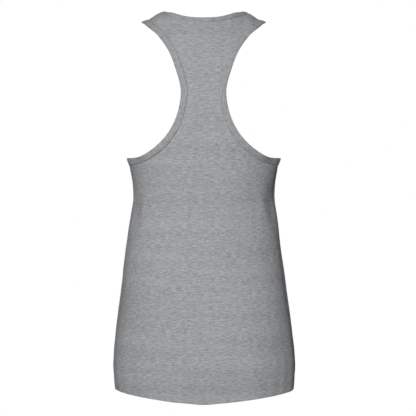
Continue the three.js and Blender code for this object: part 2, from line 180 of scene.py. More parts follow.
# Cloth: half of one layer, and how much thicker the turned-up hem is inside
CLOTH_HALF = 0.45
HEM_INNER = 1.5
# Relief on the panels: puckers, a dip and a low ridge beside the side seams, the ditch along the bindings,
# the groove of a needle line, and the hem's rounded fold. Each has its size and how far it reaches.
PUCKER = {"height": 0.22, "length": 5.5, "reach": 11.0}
SIDE_DIP = {"depth": 0.7, "reach": 4.0}
SIDE_RIDGE = {"height": 0.35, "middle": 3.2, "reach": 1.6}
DITCH = {"depth": 0.55, "starts_before": 0.5, "reach": 3.2}
GROOVE = {"depth": 0.22, "reach": 0.55}
HEM_FOLD = {"outside": 0.55, "inside": 0.35, "reach": 2.2}
STITCH_LINES = (16.0, 20.0)  # the two needle lines, above the hem's edge
# The folds and the unevenness fade in from here down, clear of the straps
RELIEF_STARTS = {"top": 60.0, "height": 60.0}

# How sharply the bindings' seams are pressed in, from 0, flat, to 1. Over the straps they lie nearly flat.
NECK_SHARP = {"right": 1.0, "left": 0.4, "flat_forward_of": -18.0, "over": 12.0}
ARMHOLE_SHARP = {"most": 0.9, "least": 0.1, "flat_above": -62.0, "over": 42.0}
SHARPENS = {"below": -185.0, "over": 55.0}
FLAT_SHARE = 0.85

# An armhole strip's own form, by distance along it from the side seam: it flares out and rises at the seam,
# turns its edge inward a little way on, is pressed in less there, and has a notch where its ends meet
STRIP_FLARE = {"out": 0.7, "reach": 11.0}
STRIP_RISE = {"height": 2.0, "reach": 6.0}
STRIP_SUNK = {"depth": 5.4, "middle": 34.0, "reach": 21.0}
STRIP_SOFT = {"share": 0.6, "reach": 14.0}
STRIP_NOTCH = {"depth": 0.8, "reach": 1.3}
# All strips roll a little along their length: height, length of a wave over a full turn, and start
STRIP_ROLLS = ((0.12, 7.3, 0.0), (0.1, 17.0, 1.0))

NUDGE = 1e-4


class Spline:
    """A natural cubic spline through (xs, ys)."""

    def __init__(self, xs, ys):
        self.xs = np.array(xs, float)
        self.ys = np.array(ys, float)
        step = np.diff(self.xs)
        system = np.eye(len(xs))
        wanted = np.zeros(len(xs))
        for i in range(1, len(xs) - 1):
            system[i, i - 1 : i + 2] = step[i - 1], 2 * (step[i - 1] + step[i]), step[i]
            rise = (self.ys[i + 1] - self.ys[i]) / step[i]
            wanted[i] = 6 * (rise - (self.ys[i] - self.ys[i - 1]) / step[i - 1])
        self.bend = np.linalg.solve(system, wanted)

    def __call__(self, x):
        x = np.asarray(x, float)
        i = np.clip(np.searchsorted(self.xs, x) - 1, 0, len(self.xs) - 2)
        step = self.xs[i + 1] - self.xs[i]
        after = (x - self.xs[i]) / step
        before = 1 - after
        curve = (before**3 - before) * self.bend[i] + (after**3 - after) * self.bend[i + 1]
        return before * self.ys[i] + after * self.ys[i + 1] + curve * step * step / 6


def smooth(t):
    t = np.clip(t, 0, 1)
    return t * t * (3 - 2 * t)


def bell(apart, reach):
    """1 at nothing apart, and about a third at the reach."""
    return np.exp(-((apart / reach) ** 2))


def level_at(below):
    return np.sqrt(np.asarray(below, float) / BACK_LENGTH)


def both_ways(front, top, back):
    return [*reversed(front), top, *back]


_rows = SECTIONS[1:]
_levels = [float(level_at(row[0])) for row in _rows]
_signed = both_ways([-v for v in _levels], 0.0, _levels)
half_width = Spline(_signed, both_ways([r[1] for r in _rows], SECTIONS[0][1], [r[1] for r in _rows]))
depth = Spline(_signed, both_ways([r[3] for r in _rows], 0.0, [-r[2] for r in _rows]))


def swell(apart):
    """A soft rise: 1 in its middle, and 0 from one half width away."""
    return np.where(np.abs(apart) < 1, np.cos(np.pi / 2 * np.clip(apart, -1, 1)) ** 2, 0)


def shoulder_line(across):
    height = SHOULDER_RISE - SHOULDER_SLOPE * (np.hypot(across, NECK_ROUND) - NECK_ROUND)
    for middle, half, rise in STRAP_WAVES:
        height = height + rise * swell((np.abs(across) - middle) / half)
    return height


def shoulder_share(level):
    return 1 - smooth(np.abs(level) / float(level_at(SHOULDER_FADES_BELOW)))


def fold_height(around, level, folds):
    """How far a table of folds lifts the cloth. A fold whose foot is at the hem grows all the way down."""
    degrees = np.degrees(np.abs(around))
    turn = np.sign(around) * np.where(level >= 0, degrees, 180 - degrees)
    below = BACK_LENGTH * level * level
    height = np.zeros(np.broadcast(around, level).shape)
    for foot_turn, lean, top, foot, half, rise in folds:
        down = np.clip((below - top) / (foot - top), 0, 1)
        centre = foot_turn - lean * (1 - down)
        apart = ((turn - centre + 540) % 360 - 180) / half
        strength = smooth(down) if foot == AT_HEM else np.sin(np.pi * down) ** 2
        height += rise * strength * swell(apart)
    return height


# Slow unevenness all over, as a sum of long waves: waves round, waves per metre down, start, height
UNEVEN = (
    (2.0, 3.1, 0.4, 0.34),
    (3.0, -5.3, 2.1, 0.30),
    (5.0, 4.2, 4.4, 0.24),
    (7.0, -7.9, 1.3, 0.18),
    (4.0, 9.6, 5.2, 0.16),
    (11.0, 6.1, 3.0, 0.10),
    (9.0, -13.0, 0.9, 0.09),
)


def unevenness(around, level):
    turn = np.where(level >= 0, around, np.pi * np.sign(around) - around)
    below = BACK_LENGTH * MM * level * level
    height = np.zeros(np.broadcast(around, level).shape)
    for waves, per_metre, start, rise in UNEVEN:
        height += rise * np.sin(waves * turn + 2 * np.pi * per_metre * below + start)
    return height * smooth((below - 0.03) / 0.2)


def on_form(around, level):
    """The solids' own surface, with the lowest part's sway."""
    around = np.asarray(around, float)
    level = np.asarray(level, float)
    sine = np.sin(around)
    cosine = np.cos(around)
    reach = (np.abs(sine) ** SQUARENESS + np.abs(cosine) ** SQUARENESS) ** (-1 / SQUARENESS)
    x = half_width(level) * reach * sine
    y = depth(np.where(cosine < 0, -level, level)) * reach * np.abs(cosine)
    z = shoulder_line(x) * shoulder_share(level) - BACK_LENGTH * level * level
    lift = 1 + fold_height(around, level, MAIN_FOLDS) / np.maximum(np.hypot(x, y), 1)
    sway = SWAY["right"] * smooth((BACK_LENGTH * level * level - SWAY["top"]) / SWAY["height"])
    return np.stack([x * lift + sway, y * lift, z * np.ones_like(lift)], -1)


def slopes(around, level):
    turned = on_form(around + NUDGE, level) - on_form(around - NUDGE, level)
    along = on_form(around, level + NUDGE) - on_form(around, level - NUDGE)
    return turned / (2 * NUDGE), along / (2 * NUDGE)


def outward(around, level):
    turned, along = slopes(around, level)
    normal = np.cross(along, turned)
    return normal / np.linalg.norm(normal, axis=-1, keepdims=True)


def nearest(around, level, target):
    """The places nearest to target points, found from places near them."""
    for _ in range(6):
        turned, along = slopes(around, level)
        miss = target - on_form(around, level)
        tt = (turned * turned).sum(-1)
        ta = (turned * along).sum(-1)
        aa = (along * along).sum(-1)
        mt = (miss * turned).sum(-1)
        ma = (miss * along).sum(-1)
        size = tt * aa - ta * ta
        around = around + (mt * aa - ma * ta) / size
        level = level + (ma * tt - mt * ta) / size
    return around, level


def seen_at(across, below, side):
    """The place seen at a distance across and below, on the back (side 1) or the front (side -1)."""
    low = 0.0
    high = 1.1
    for _ in range(50):
        level = (low + high) / 2
        drop = BACK_LENGTH * level * level - shoulder_line(across) * shoulder_share(level)
        if drop < below:
            low = level
        else:
            high = level
    share = min(across / float(half_width(low)), 1)
    around = math.atan2(share, (1 - share**SQUARENESS) ** (1 / SQUARENESS))
    return around, side * low


def other_side(place):
    return math.pi - place[0], -place[1]


def mirrored(place):
    return -place[0], place[1]


class Edge:
    """A finished edge through places, by its share of length. Its first and last places only steer it."""

    def __init__(self, places, panel_side):
        arounds = np.array([p[0] for p in places])
        levels = np.array([p[1] for p in places])
        steps = np.linalg.norm(np.diff(on_form(arounds, levels), axis=0), axis=1)
        knots = np.concatenate([[0], np.cumsum(steps)])
        self.around = Spline(knots, arounds)
        self.level = Spline(knots, levels)
        self.panel_side = panel_side
        self.fine = np.linspace(knots[1], knots[-2], 801)
        points = on_form(self.around(self.fine), self.level(self.fine))
        lengths = np.concatenate([[0], np.cumsum(np.linalg.norm(np.diff(points, axis=0), axis=1))])
        self.length = lengths[-1]
        self.shares = lengths / self.length

    def at(self, share):
        share = np.asarray(share, float)
        knot = np.interp(share, self.shares, self.fine)
        rate = (self.fine[1] - self.fine[0]) / (self.shares[1] - self.shares[0])
        knot = knot + np.minimum(share, 0) * rate
        rate = (self.fine[-1] - self.fine[-2]) / (self.shares[-1] - self.shares[-2])
        knot = knot + np.maximum(share - 1, 0) * rate
        return self.around(knot), self.level(knot)

    def inward(self, share):
        """Unit vectors along the cloth from the edge towards the panel."""
        reach = 1e-3
        around, level = self.at(share)
        along = on_form(*self.at(share + reach)) - on_form(*self.at(share - reach))
        centred = np.abs(around) < 1e-6
        along[centred, 1:] = 0
        inward = np.cross(outward(around, level), along) * self.panel_side
        return inward / np.linalg.norm(inward, axis=-1, keepdims=True)

    def inset(self, share, distance):
        """Places a distance in from the edge, along the cloth."""
        share = np.atleast_1d(np.asarray(share, float))
        around, level = self.at(share)
        around = np.where(np.abs(around) < 1e-6, 0, around)
        target = on_form(around, level) + self.inward(share) * np.asarray(distance)[..., None]
        return nearest(around, level, target)

    def share_where(self, value, inset, low, high):
        """The share between low and high at which the places a distance in have a level."""
        falling = self.inset(high, inset)[1][0] < self.inset(low, inset)[1][0]
        for _ in range(30):
            middle = (low + high) / 2
            if (self.inset(middle, inset)[1][0] > value) == falling:
                low = middle
            else:
                high = middle
        return low


_shoulder_levels = np.arange(0, -0.2, -NUDGE)
SHOULDER_SEAM_LEVEL = float(
    _shoulder_levels[np.argmax(depth(_shoulder_levels) >= SHOULDER_SEAM_FORWARD)]
)

_back_neck = [seen_at(*point, 1) for point in BACK_NECK]
_front_neck = [seen_at(*point, -1) for point in FRONT_NECK]
_neck_top = seen_at(NECK_TOP, -shoulder_line(NECK_TOP), 1)
neck_edge = Edge(
    [mirrored(_back_neck[1]), *_back_neck, _neck_top, *_front_neck, mirrored(_front_neck[-2])],
    -1,
)
_back_armhole = [seen_at(*point, 1) for point in BACK_ARMHOLE]
_front_armhole = [seen_at(*point, -1) for point in FRONT_ARMHOLE]
_armhole_top = seen_at(ARMHOLE_TOP, -shoulder_line(ARMHOLE_TOP), 1)
_underarm = (SIDE_SEAM, float(level_at(UNDERARM)))
armhole_edge = Edge(
    [
        other_side(_front_armhole[-1]),
        _underarm,
        *_back_armhole,
        _armhole_top,
        *_front_armhole,
        other_side(_underarm),
        other_side(_back_armhole[0]),
    ],
    1,
)

# The panels go a little way under the folded strips that finish them
TUCK = 0.8
NECK_INSET = NECK_BINDING_WIDTH - TUCK
ARMHOLE_INSET = ARMHOLE_BINDING_WIDTH - TUCK
NECK_SHOULDER = neck_edge.share_where(SHOULDER_SEAM_LEVEL, NECK_INSET, 0, 1)
ARMHOLE_SHOULDER = armhole_edge.share_where(SHOULDER_SEAM_LEVEL, ARMHOLE_INSET, 0, 1)
BACK_TURN = armhole_edge.share_where(float(level_at(TURNS_AT_BACK)), ARMHOLE_INSET, 0, ARMHOLE_SHOULDER)
FRONT_TURN = armhole_edge.share_where(-float(level_at(TURNS_AT_FRONT)), ARMHOLE_INSET, ARMHOLE_SHOULDER, 1)


def blend(a, b, t):
    t = np.asarray(t, float)
    return np.stack([a[0] + (b[0] - a[0]) * t, a[1] + (b[1] - a[1]) * t], -1)


def seam_line(edge, inset, start, end, count):
    around, level = edge.inset(np.linspace(start, end, count + 1), inset)
    return np.stack([around, level], -1)


def ending_at(line, column, value):
    """A line whose last place is moved along its last step to where one of its columns has a value."""
    line = line.copy()
    inner, last = line[-2], line[-1]
    line[-1] = inner + (last - inner) * (value - inner[column]) / (last[column] - inner[column])
    return line


def hem_below(around):
    """How far the hem's edge is below the strap tops."""
    below = HEM_SIDES + HEM_DIP * np.abs(np.cos(around)) ** HEM_ROUNDING
    from_centre = 90 - np.abs(90 - np.degrees(np.abs(around)))
    for corner, half, rise in HEM_TURNS:
        below = below - rise * swell((from_centre - corner) / half)
    return below


def hem_place(around, side):
    return np.stack([around, side * level_at(hem_below(around))], -1)


# The rows of a body by height above the hem, close together at the folded edge, the stitching and its top
HEM_ROWS = (0, 0.35, 1.0, 2.2, 5, 9, 13, 15.2, 16, 16.8, 18, 19.2, 20, 20.8, 21.9, 22.1, 23.5)
SEAM_ROWS = (12, 9.6, 7.6, 6.0, 4.8, 3.8, 3.0, 2.3, 1.7, 1.2, 0.8, 0.4, 0)


def body_rows(tall):
    between = np.linspace(HEM_ROWS[-1], tall - SEAM_ROWS[0], BODY_ROWS - len(HEM_ROWS) - len(SEAM_ROWS) + 2)
    return np.concatenate([HEM_ROWS, between[1:-1], tall - np.array(SEAM_ROWS)]) / tall


def line_up(bottom, top):
    tall = BACK_LENGTH * (bottom[1] ** 2 - top[1] ** 2)
    t = body_rows(tall)
    level = np.sqrt((1 - t) * bottom[1] ** 2 + t * top[1] ** 2)
    return np.stack([(1 - t) * bottom[0] + t * top[0], math.copysign(1, bottom[1]) * level], -1)


def fill(bottom, top, left, right, rows):
    """A grid of places that fills the space between four lines of places."""
    s = np.linspace(0, 1, len(bottom))[None, :, None]
    t = rows[:, None, None]
    ruled = (1 - t) * bottom[None] + t * top[None] + (1 - s) * left[:, None] + s * right[:, None]
    corners = (1 - t) * ((1 - s) * bottom[0] + s * bottom[-1]) + t * ((1 - s) * top[0] + s * top[-1])
    return ruled - corners


def crowded(count, power):
    """Shares from 0 to 1 that crowd towards 1."""
    return 1 - (1 - np.linspace(0, 1, count + 1)) ** power


def crowded_at_ends(count):
    t = np.linspace(0, 1, count + 1)
    return t - 0.75 * np.sin(2 * np.pi * t) / (2 * np.pi)


def half_panel(side, neck, armhole, turns_at):
    """The right half of the back (side 1) or the front (side -1) as two grids of places: body and upper."""
    half_gap = SEAM_GAP / 2 / np.linalg.norm(slopes(SIDE_SEAM, level_at(UNDERARM))[0])
    seam = (SIDE_SEAM if side > 0 else math.pi - SIDE_SEAM) - half_gap
    half_gap = SEAM_GAP / 2 / np.linalg.norm(slopes(math.pi / 4, SHOULDER_SEAM_LEVEL)[1])
    neck = ending_at(neck, 1, SHOULDER_SEAM_LEVEL + side * half_gap)
    armhole = ending_at(armhole, 1, SHOULDER_SEAM_LEVEL + side * half_gap)
    underarm = ending_at(armhole[: ARMHOLE_COLUMNS + 1][::-1], 0, seam)

    foot = np.array([0.0, side * float(level_at(turns_at))])
    columns = crowded_at_ends(UPPER_COLUMNS)
    bridge = blend(foot, underarm[0], columns)
    top = np.concatenate([bridge, underarm[1:]])
    hem = hem_place(seam * crowded(len(top) - 1, 1.15), side)
    rows = body_rows(BACK_LENGTH - UNDERARM)
    body = fill(hem, top, line_up(hem[0], foot), line_up(hem[-1], top[-1]), rows)

    centre = blend(foot, neck[0], np.linspace(0, 1, UPPER_ROWS - len(neck) + 2))
    inner = np.concatenate([centre, neck[1:]])
    outer = armhole[ARMHOLE_COLUMNS:]
    across = columns[None, :, None]
    upper = inner[:, None] * (1 - across) + outer[:, None] * across
    return body, upper


def length_of(points):
    return np.linalg.norm(np.diff(points, axis=0), axis=-1).sum(0)


def cloth_measure(around, level):
    """How far a place is across the cloth from the centre line, and down it. The knitted rows run level."""
    steps = np.linspace(0, 1, 17)[:, None]
    across = np.sign(around) * length_of(on_form(around * steps, level + 0 * steps))
    run = np.linspace(-1.01, 1.01, 401)
    line = np.stack([depth(run), BACK_LENGTH * run * run], -1)
    walked = np.concatenate([[0], np.cumsum(np.linalg.norm(np.diff(line, axis=0), axis=1))])
    walked = np.abs(walked - walked[200])
    share = shoulder_share(level)
    down = np.interp(level, run, walked) - shoulder_line(on_form(around, level)[:, 0]) * share
    return np.stack([across, down], -1) * MM


def new_object(name, points, faces, material, measure=None):
    """A mesh object from points in mm. measure gives each point's place on the flat cloth, in metres."""
    mesh = bpy.data.meshes.new(name)
    mesh.from_pydata((np.asarray(points) * MM).tolist(), [], faces)
    if measure is not None:
        layer = mesh.uv_layers.new(name="cloth")
        corners = np.empty(len(mesh.loops), np.int32)
        mesh.loops.foreach_get("vertex_index", corners)
        layer.data.foreach_set("uv", np.asarray(measure, np.float32)[corners].ravel())
    mesh.shade_smooth()
    mesh.materials.append(material)
    piece = bpy.data.objects.new(name, mesh)
    bpy.context.collection.objects.link(piece)
    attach(piece, "root")
    return piece


def pressed(points, edge):
    """How sharply a binding's seam is pressed in. The armholes' seam lies nearly flat beside the right of
    the racerback, the neck's on the left, and both where they cross the straps."""
    right = points[:, 0] > 0
    if edge is neck_edge:
        sharp = np.where(right, NECK_SHARP["right"], NECK_SHARP["left"])
        flat = smooth((points[:, 1] - NECK_SHARP["flat_forward_of"]) / NECK_SHARP["over"])
        return sharp * (1 - FLAT_SHARE * flat)
    down = smooth((SHARPENS["below"] - points[:, 2]) / SHARPENS["over"])
    racerback = ARMHOLE_SHARP["least"] + ARMHOLE_SHARP["most"] * down
    sharp = np.where(right & (points[:, 1] < 0), racerback, ARMHOLE_SHARP["most"])
    flat = smooth((points[:, 2] - ARMHOLE_SHARP["flat_above"]) / ARMHOLE_SHARP["over"])
    return sharp * (1 - FLAT_SHARE * flat)


def from_edge(points, edge):
    """How far points are from a finished edge, or from its mirror image on the other half."""
    right = points.copy()
    right[:, 0] = np.abs(right[:, 0])
    apart = np.full(len(points), np.inf)
    for place in on_form(*edge.at(np.linspace(0, 1, 420))):
        apart = np.minimum(apart, ((right - place) ** 2).sum(-1))
    return np.sqrt(apart)


def surface_lift(around, level):
    """How far the cloth lies over the form: its unevenness, its fine creases and the drawn-in foot."""
    below = BACK_LENGTH * level * level
    uneven = unevenness(around, level) + fold_height(around, level, FINE_CREASES)
    drawn_in = DRAWN_IN["depth"] * smooth((below - DRAWN_IN["top"]) / DRAWN_IN["height"])
    fades_in = smooth((below - RELIEF_STARTS["top"]) / RELIEF_STARTS["height"])
    return uneven * fades_in - drawn_in * np.cos(around) ** 2


def panel_lifts(around, level, side):
    """The heights of a panel's outer and inner faces over the form, seams and hem included."""
    seam = SIDE_SEAM if side > 0 else math.pi - SIDE_SEAM
    round_speed = np.linalg.norm(slopes(around, level)[0], axis=-1)
    from_side = (seam - np.abs(around)) * round_speed
    above_hem = hem_below(around) - BACK_LENGTH * level * level
    surface = surface_lift(around, level)
    near_side = 1 - smooth(from_side / PUCKER["reach"])
    outer = surface + CLOTH_HALF + PUCKER["height"] * np.sin(above_hem / PUCKER["length"]) * near_side
    ridge = SIDE_RIDGE["height"] * bell(from_side - SIDE_RIDGE["middle"], SIDE_RIDGE["reach"])
    outer = outer - SIDE_DIP["depth"] * (1 - smooth(from_side / SIDE_DIP["reach"])) ** 2 + ridge
    middle = on_form(around, level)
    for edge, width in ((neck_edge, NECK_BINDING_WIDTH), (armhole_edge, ARMHOLE_BINDING_WIDTH)):
        beyond = from_edge(middle, edge) - width
        away = smooth((beyond + DITCH["starts_before"]) / DITCH["reach"])
        outer = outer - DITCH["depth"] * pressed(middle, edge) * (1 - away)
    for line in STITCH_LINES:
        outer = outer - GROOVE["depth"] * bell(above_hem - line, GROOVE["reach"])
    rolled = (1 - smooth(above_hem / HEM_FOLD["reach"])) ** 2
    outer = outer - HEM_FOLD["outside"] * rolled
    turned_up = np.where(above_hem < HEM_HEIGHT, HEM_INNER - HEM_FOLD["inside"] * rolled, 0)
    return outer, CLOTH_HALF - surface + turned_up


def panel(name, halves, side, material):
    """A whole panel as a closed thin shell: the right half's grids and their mirror images."""
    places = []
    quads = []
    start = 0
    for turn in (1, -1):
        for grid in halves:
            rows, columns = grid.shape[:2]
            places.append(np.stack([grid[..., 0] * turn, grid[..., 1]], -1).reshape(-1, 2))
            index = np.arange(rows * columns).reshape(rows, columns) + start
            ring = [index[:-1, :-1], index[:-1, 1:], index[1:, 1:], index[1:, :-1]]
            quads.append(np.stack(ring[:: turn * side], -1).reshape(-1, 4))
            start += rows * columns
    places = np.concatenate(places)
    quads = np.concatenate(quads)
    middle = on_form(places[:, 0], places[:, 1])
    _, first, back = np.unique(np.round(middle / 0.02), axis=0, return_index=True, return_inverse=True)
    places = places[first]
    middle = middle[first]
    quads = back.reshape(-1)[quads]

    normal = outward(places[:, 0], places[:, 1])
    outer, inner = panel_lifts(places[:, 0], places[:, 1], side)
    points = np.concatenate([middle + normal * outer[:, None], middle - normal * inner[:, None]])
    count = len(middle)
    edges = np.concatenate([quads[:, [i, (i + 1) % 4]] for i in range(4)])
    known = {(a, b) for a, b in edges.tolist()}
    rim = [(a, b) for a, b in known if (b, a) not in known]
    faces = quads.tolist() + (quads[:, ::-1] + count).tolist()
    faces += [(b, a, a + count, b + count) for a, b in sorted(rim)]
    measure = cloth_measure(places[:, 0], places[:, 1])
    piece = new_object(name, points, faces, material, np.concatenate([measure, measure]))
    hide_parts(name.removesuffix("_cloth"))
    return piece


def binding_section(width):
    """A folded strip's section, once round: how far in from the finished edge, how far out, and how far
    out where its seam lies flat."""
    top = 1.7
    inside = -1.15
    turn = (top - inside) / 2
    outer = [
        (width + 0.15, -0.3, 0.3),
        (width - 0.3, 0.4, 0.5),
        (width - 0.75, 1.1, 0.7),
        (width - 1.2, top, 0.87),
        (width - 1.8, top + 0.14, 1.08),
        (width - 2.8, top + 0.12, 1.36),
        (width - 4.2, top + 0.1, 1.6),
        (width * 0.45, top + 0.08, top),
        (width * 0.22, top + 0.03, top),
    ]
    rounded = np.linspace(0.25, math.pi, 9)
    fold = [(1.2 - 1.2 * math.sin(a), (top + inside) / 2 + turn * math.cos(a)) for a in rounded]
    inner = [
        (width * 0.3, inside),
        (width * 0.6, inside - 0.1),
        (width - 1.6, inside - 0.05),
        (width - 0.6, inside + 0.1),
        (width, inside + 0.5),
    ]
    return outer + [(inset, lift, lift) for inset, lift in fold + inner]


def binding(name, edge, width, mirror, material, join=0.0):
    """A binding swept round an edge. The neck's edge is half of it, and an armhole's goes all the way round.

    join is how far behind the side seam the strip's two ends meet.
    """
    shares = np.linspace(0, 1, round(edge.length / 2.2) + 1)
    whole_neck = mirror == "both"
    turned = -1 if mirror == "left" else 1
    run = shares if whole_neck else shares[:-1]
    walked = run * edge.length
    from_seam = np.minimum(run, 1 - run) * edge.length
    beside = 0.0 if whole_neck else 1.0
    rolls = sum(rise * np.sin(walked / length + start) for rise, length, start in STRIP_ROLLS)
    flare = beside * STRIP_FLARE["out"] * bell(from_seam, STRIP_FLARE["reach"])
    risen = STRIP_RISE["height"] * bell(from_seam, STRIP_RISE["reach"])
    sunk = STRIP_SUNK["depth"] * bell(from_seam - STRIP_SUNK["middle"], STRIP_SUNK["reach"])
    softer = 1 - beside * STRIP_SOFT["share"] * bell(from_seam, STRIP_SOFT["reach"])
    notch = beside * STRIP_NOTCH["depth"] * bell(walked - join, STRIP_NOTCH["reach"])
    rings = []
    measures = []
    for inset, lift, flat_lift in binding_section(width):
        around, level = edge.inset(run, inset - flare * (1 - inset / width))
        middle = on_form(around, level)
        sharp = pressed(middle * [turned, 1, 1], edge) * softer
        slack = beside * (risen - sunk) * (1 - np.clip(inset / width, 0, 1) ** 2)
        height = flat_lift + (lift - flat_lift) * sharp + rolls - notch * np.sign(lift) + slack
        rings.append(middle + outward(around, level) * height[:, None])
        measures.append(np.stack([walked, np.full_like(run, inset + 4 * abs(lift))], -1) * MM)
    rings = np.stack(rings, 1)
    measures = np.stack(measures, 1)
    if whole_neck:
        flipped = rings[1:-1][::-1] * [-1, 1, 1]
        rings = np.concatenate([rings, flipped])
        measures = np.concatenate([measures, measures[1:-1][::-1] * [-1, 1]])
    if mirror == "left":
        rings = rings * [-1, 1, 1]
    along, round_section = rings.shape[:2]
    index = np.arange(along * round_section).reshape(along, round_section)
    next_along = np.roll(index, -1, 0)
    next_round = np.roll(index, -1, 1)
    corners = [index, next_round, np.roll(next_along, -1, 1), next_along]
    outside_in = (edge.panel_side > 0) != (mirror == "left")
    faces = np.stack(corners[:: 1 if outside_in else -1], -1).reshape(-1, 4)
    points = rings.reshape(-1, 3)
    piece = new_object(name, points, faces.tolist(), material, measures.reshape(-1, 2))
    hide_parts(name.removesuffix("_cloth"))
    return piece


# The seam allowances, pressed flat inside the side seams and the shoulder seams: their columns as shares of
# the half width, each with a share of the thickness
ALLOWANCE = {"half_width": 3.6, "thickness": 0.9, "sunk": 0.1, "starts_below": 275.0, "above_hem": 0.8}
ALLOWANCE_COLUMNS = ((-1, 0.4), (-0.8, 1), (0, 1), (0.8, 1), (1, 0.4))
ALLOWANCE_ROWS = {"side": 130, "shoulder": 14}


def allowance_strip(around, level):
    """A closed strip of cloth inside, through a grid of places: its points, its faces and its measure."""
    around = around.ravel()
    level = level.ravel()
    columns = len(ALLOWANCE_COLUMNS)
    middle = on_form(around, level)
    normal = outward(around, level)
    top = surface_lift(around, level) - CLOTH_HALF + ALLOWANCE["sunk"]
    full = np.tile([share for _, share in ALLOWANCE_COLUMNS], len(around) // columns)
    foot = top - ALLOWANCE["sunk"] - ALLOWANCE["thickness"] * full
    points = np.concatenate([middle + normal * top[:, None], middle + normal * foot[:, None]])
    index = np.arange(len(around)).reshape(-1, columns)
    under = index + len(around)
    faces = []
    for row in range(len(index) - 1):
        for column in range(columns - 1):
            a, b = index[row, column], index[row, column + 1]
            c, d = index[row + 1, column + 1], index[row + 1, column]
            faces.append((a, b, c, d))
            faces.append((under[row, column], d + len(around), c + len(around), b + len(around)))
        for column, turn in ((0, 1), (columns - 1, -1)):
            ring = (index[row, column], index[row + 1, column], under[row + 1, column], under[row, column])
            faces.append(ring[::turn])
    for row, turn in ((0, -1), (len(index) - 1, 1)):
        for column in range(columns - 1):
            ring = (index[row, column], index[row, column + 1], under[row, column + 1], under[row, column])
            faces.append(ring[::turn])
    measure = cloth_measure(around, level)
    return points, faces, np.concatenate([measure, measure])


def seam_allowances(material):
    """The strips inside both side seams and both shoulder seams, as one piece."""
    across = np.array([share for share, _ in ALLOWANCE_COLUMNS]) * ALLOWANCE["half_width"]
    columns = len(across)
    foot = float(hem_below(SIDE_SEAM)) - ALLOWANCE["above_hem"]
    down = level_at(np.linspace(ALLOWANCE["starts_below"], foot, ALLOWANCE_ROWS["side"]))
    start = float(neck_edge.inset(NECK_SHOULDER, NECK_INSET)[0][0])
    end = float(armhole_edge.inset(ARMHOLE_SHOULDER, ARMHOLE_INSET)[0][0])
    along = np.linspace(start, end, ALLOWANCE_ROWS["shoulder"])
    strips = []
    for turn in (1, -1):
        level = np.repeat(down[:, None], columns, 1)
        seam = np.full_like(level, turn * SIDE_SEAM)
        speed = np.linalg.norm(slopes(seam, level)[0], axis=-1)
        strips.append(allowance_strip(seam + turn * across / speed, level))
        around = np.repeat(turn * along[:, None], columns, 1)
        seam = np.full_like(around, SHOULDER_SEAM_LEVEL)
        speed = np.linalg.norm(slopes(around, seam)[1], axis=-1)
        strips.append(allowance_strip(around, seam + across / speed))
    points = []
    faces = []
    measures = []
    start = 0
    for more, shapes, measure in strips:
        faces += [tuple(int(corner) + start for corner in face) for face in shapes]
        points.append(more)
        measures.append(measure)
        start += len(more)
    return new_object("seam_allowances", np.concatenate(points), faces, material, np.concatenate(measures))


STITCH = {"spacing": 3.1, "length": 2.5, "width": 0.55, "height": 0.4}
# The rings of a stitch: share of its length, share of its width
STITCH_RINGS = ((-0.5, 0.35), (-0.25, 0.9), (0.25, 0.9), (0.5, 0.35))
STITCH_SIDES = 6
HEM_ROW = {"clear_of_seam": 0.012, "proud": 0.05, "stations": 480}
# Beside a binding's seam: how far from it, and how high the needle line lies where the seam is flat or sharp
BINDING_ROW = {"from_seam": 2.2, "flat": 1.2, "sharp": 1.84, "stations": 400}


def evenly_along(points, spacing):
    """Even stations along a line of points: where they are, and which way the line runs."""
    walked = np.concatenate([[0], np.cumsum(np.linalg.norm(np.diff(points, axis=0), axis=1))])
    stations = np.arange(spacing / 2, walked[-1], spacing)
    at = np.stack([np.interp(stations, walked, points[:, i]) for i in range(3)], -1)
    ahead = np.stack([np.interp(stations + 0.5, walked, points[:, i]) for i in range(3)], -1)
    along = ahead - at
    return at, along / np.maximum(np.linalg.norm(along, axis=1, keepdims=True), 1e-6), stations, walked


def stitch_row(line, normals):
    """Small rounded stitches along a line, each one a closed mesh: points and faces."""
    at, along, stations, walked = evenly_along(line, STITCH["spacing"])
    up = np.stack([np.interp(stations, walked, normals[:, i]) for i in range(3)], -1)
    across = np.cross(up, along)
    points = []
    faces = []
    for lengthwise, size in STITCH_RINGS:
        for corner in np.arange(STITCH_SIDES) * 2 * math.pi / STITCH_SIDES:
            sideways = math.cos(corner) * size * STITCH["width"] / 2
            upwards = math.sin(corner) * size * STITCH["height"] / 2
            points.append(at + along * lengthwise * STITCH["length"] + across * sideways + up * upwards)
    points = np.stack(points, 1).reshape(-1, 3)
    for start in range(0, len(points), STITCH_SIDES * len(STITCH_RINGS)):
        for ring in range(len(STITCH_RINGS) - 1):
            for side in range(STITCH_SIDES):
                a = start + ring * STITCH_SIDES + side
                b = start + ring * STITCH_SIDES + (side + 1) % STITCH_SIDES
                faces.append((a, b, b + STITCH_SIDES, a + STITCH_SIDES))
        last = start + STITCH_SIDES * (len(STITCH_RINGS) - 1)
        faces.append(tuple(start + side for side in reversed(range(STITCH_SIDES))))
        faces.append(tuple(last + side for side in range(STITCH_SIDES)))
    return points, faces


def hem_rows():
    """The two needle lines of the hem, on the outer face of the back and the front."""
    rows = []
    for side, seam in ((1, SIDE_SEAM), (-1, math.pi - SIDE_SEAM)):
        end = seam - HEM_ROW["clear_of_seam"]
        around = np.linspace(-end, end, HEM_ROW["stations"])
        for above in STITCH_LINES:
            level = side * level_at(hem_below(around) - above)
            normal = outward(around, level)
            outer, _ = panel_lifts(around, level, side)
            rows.append((on_form(around, level) + normal * (outer + HEM_ROW["proud"])[:, None], normal))
    return rows


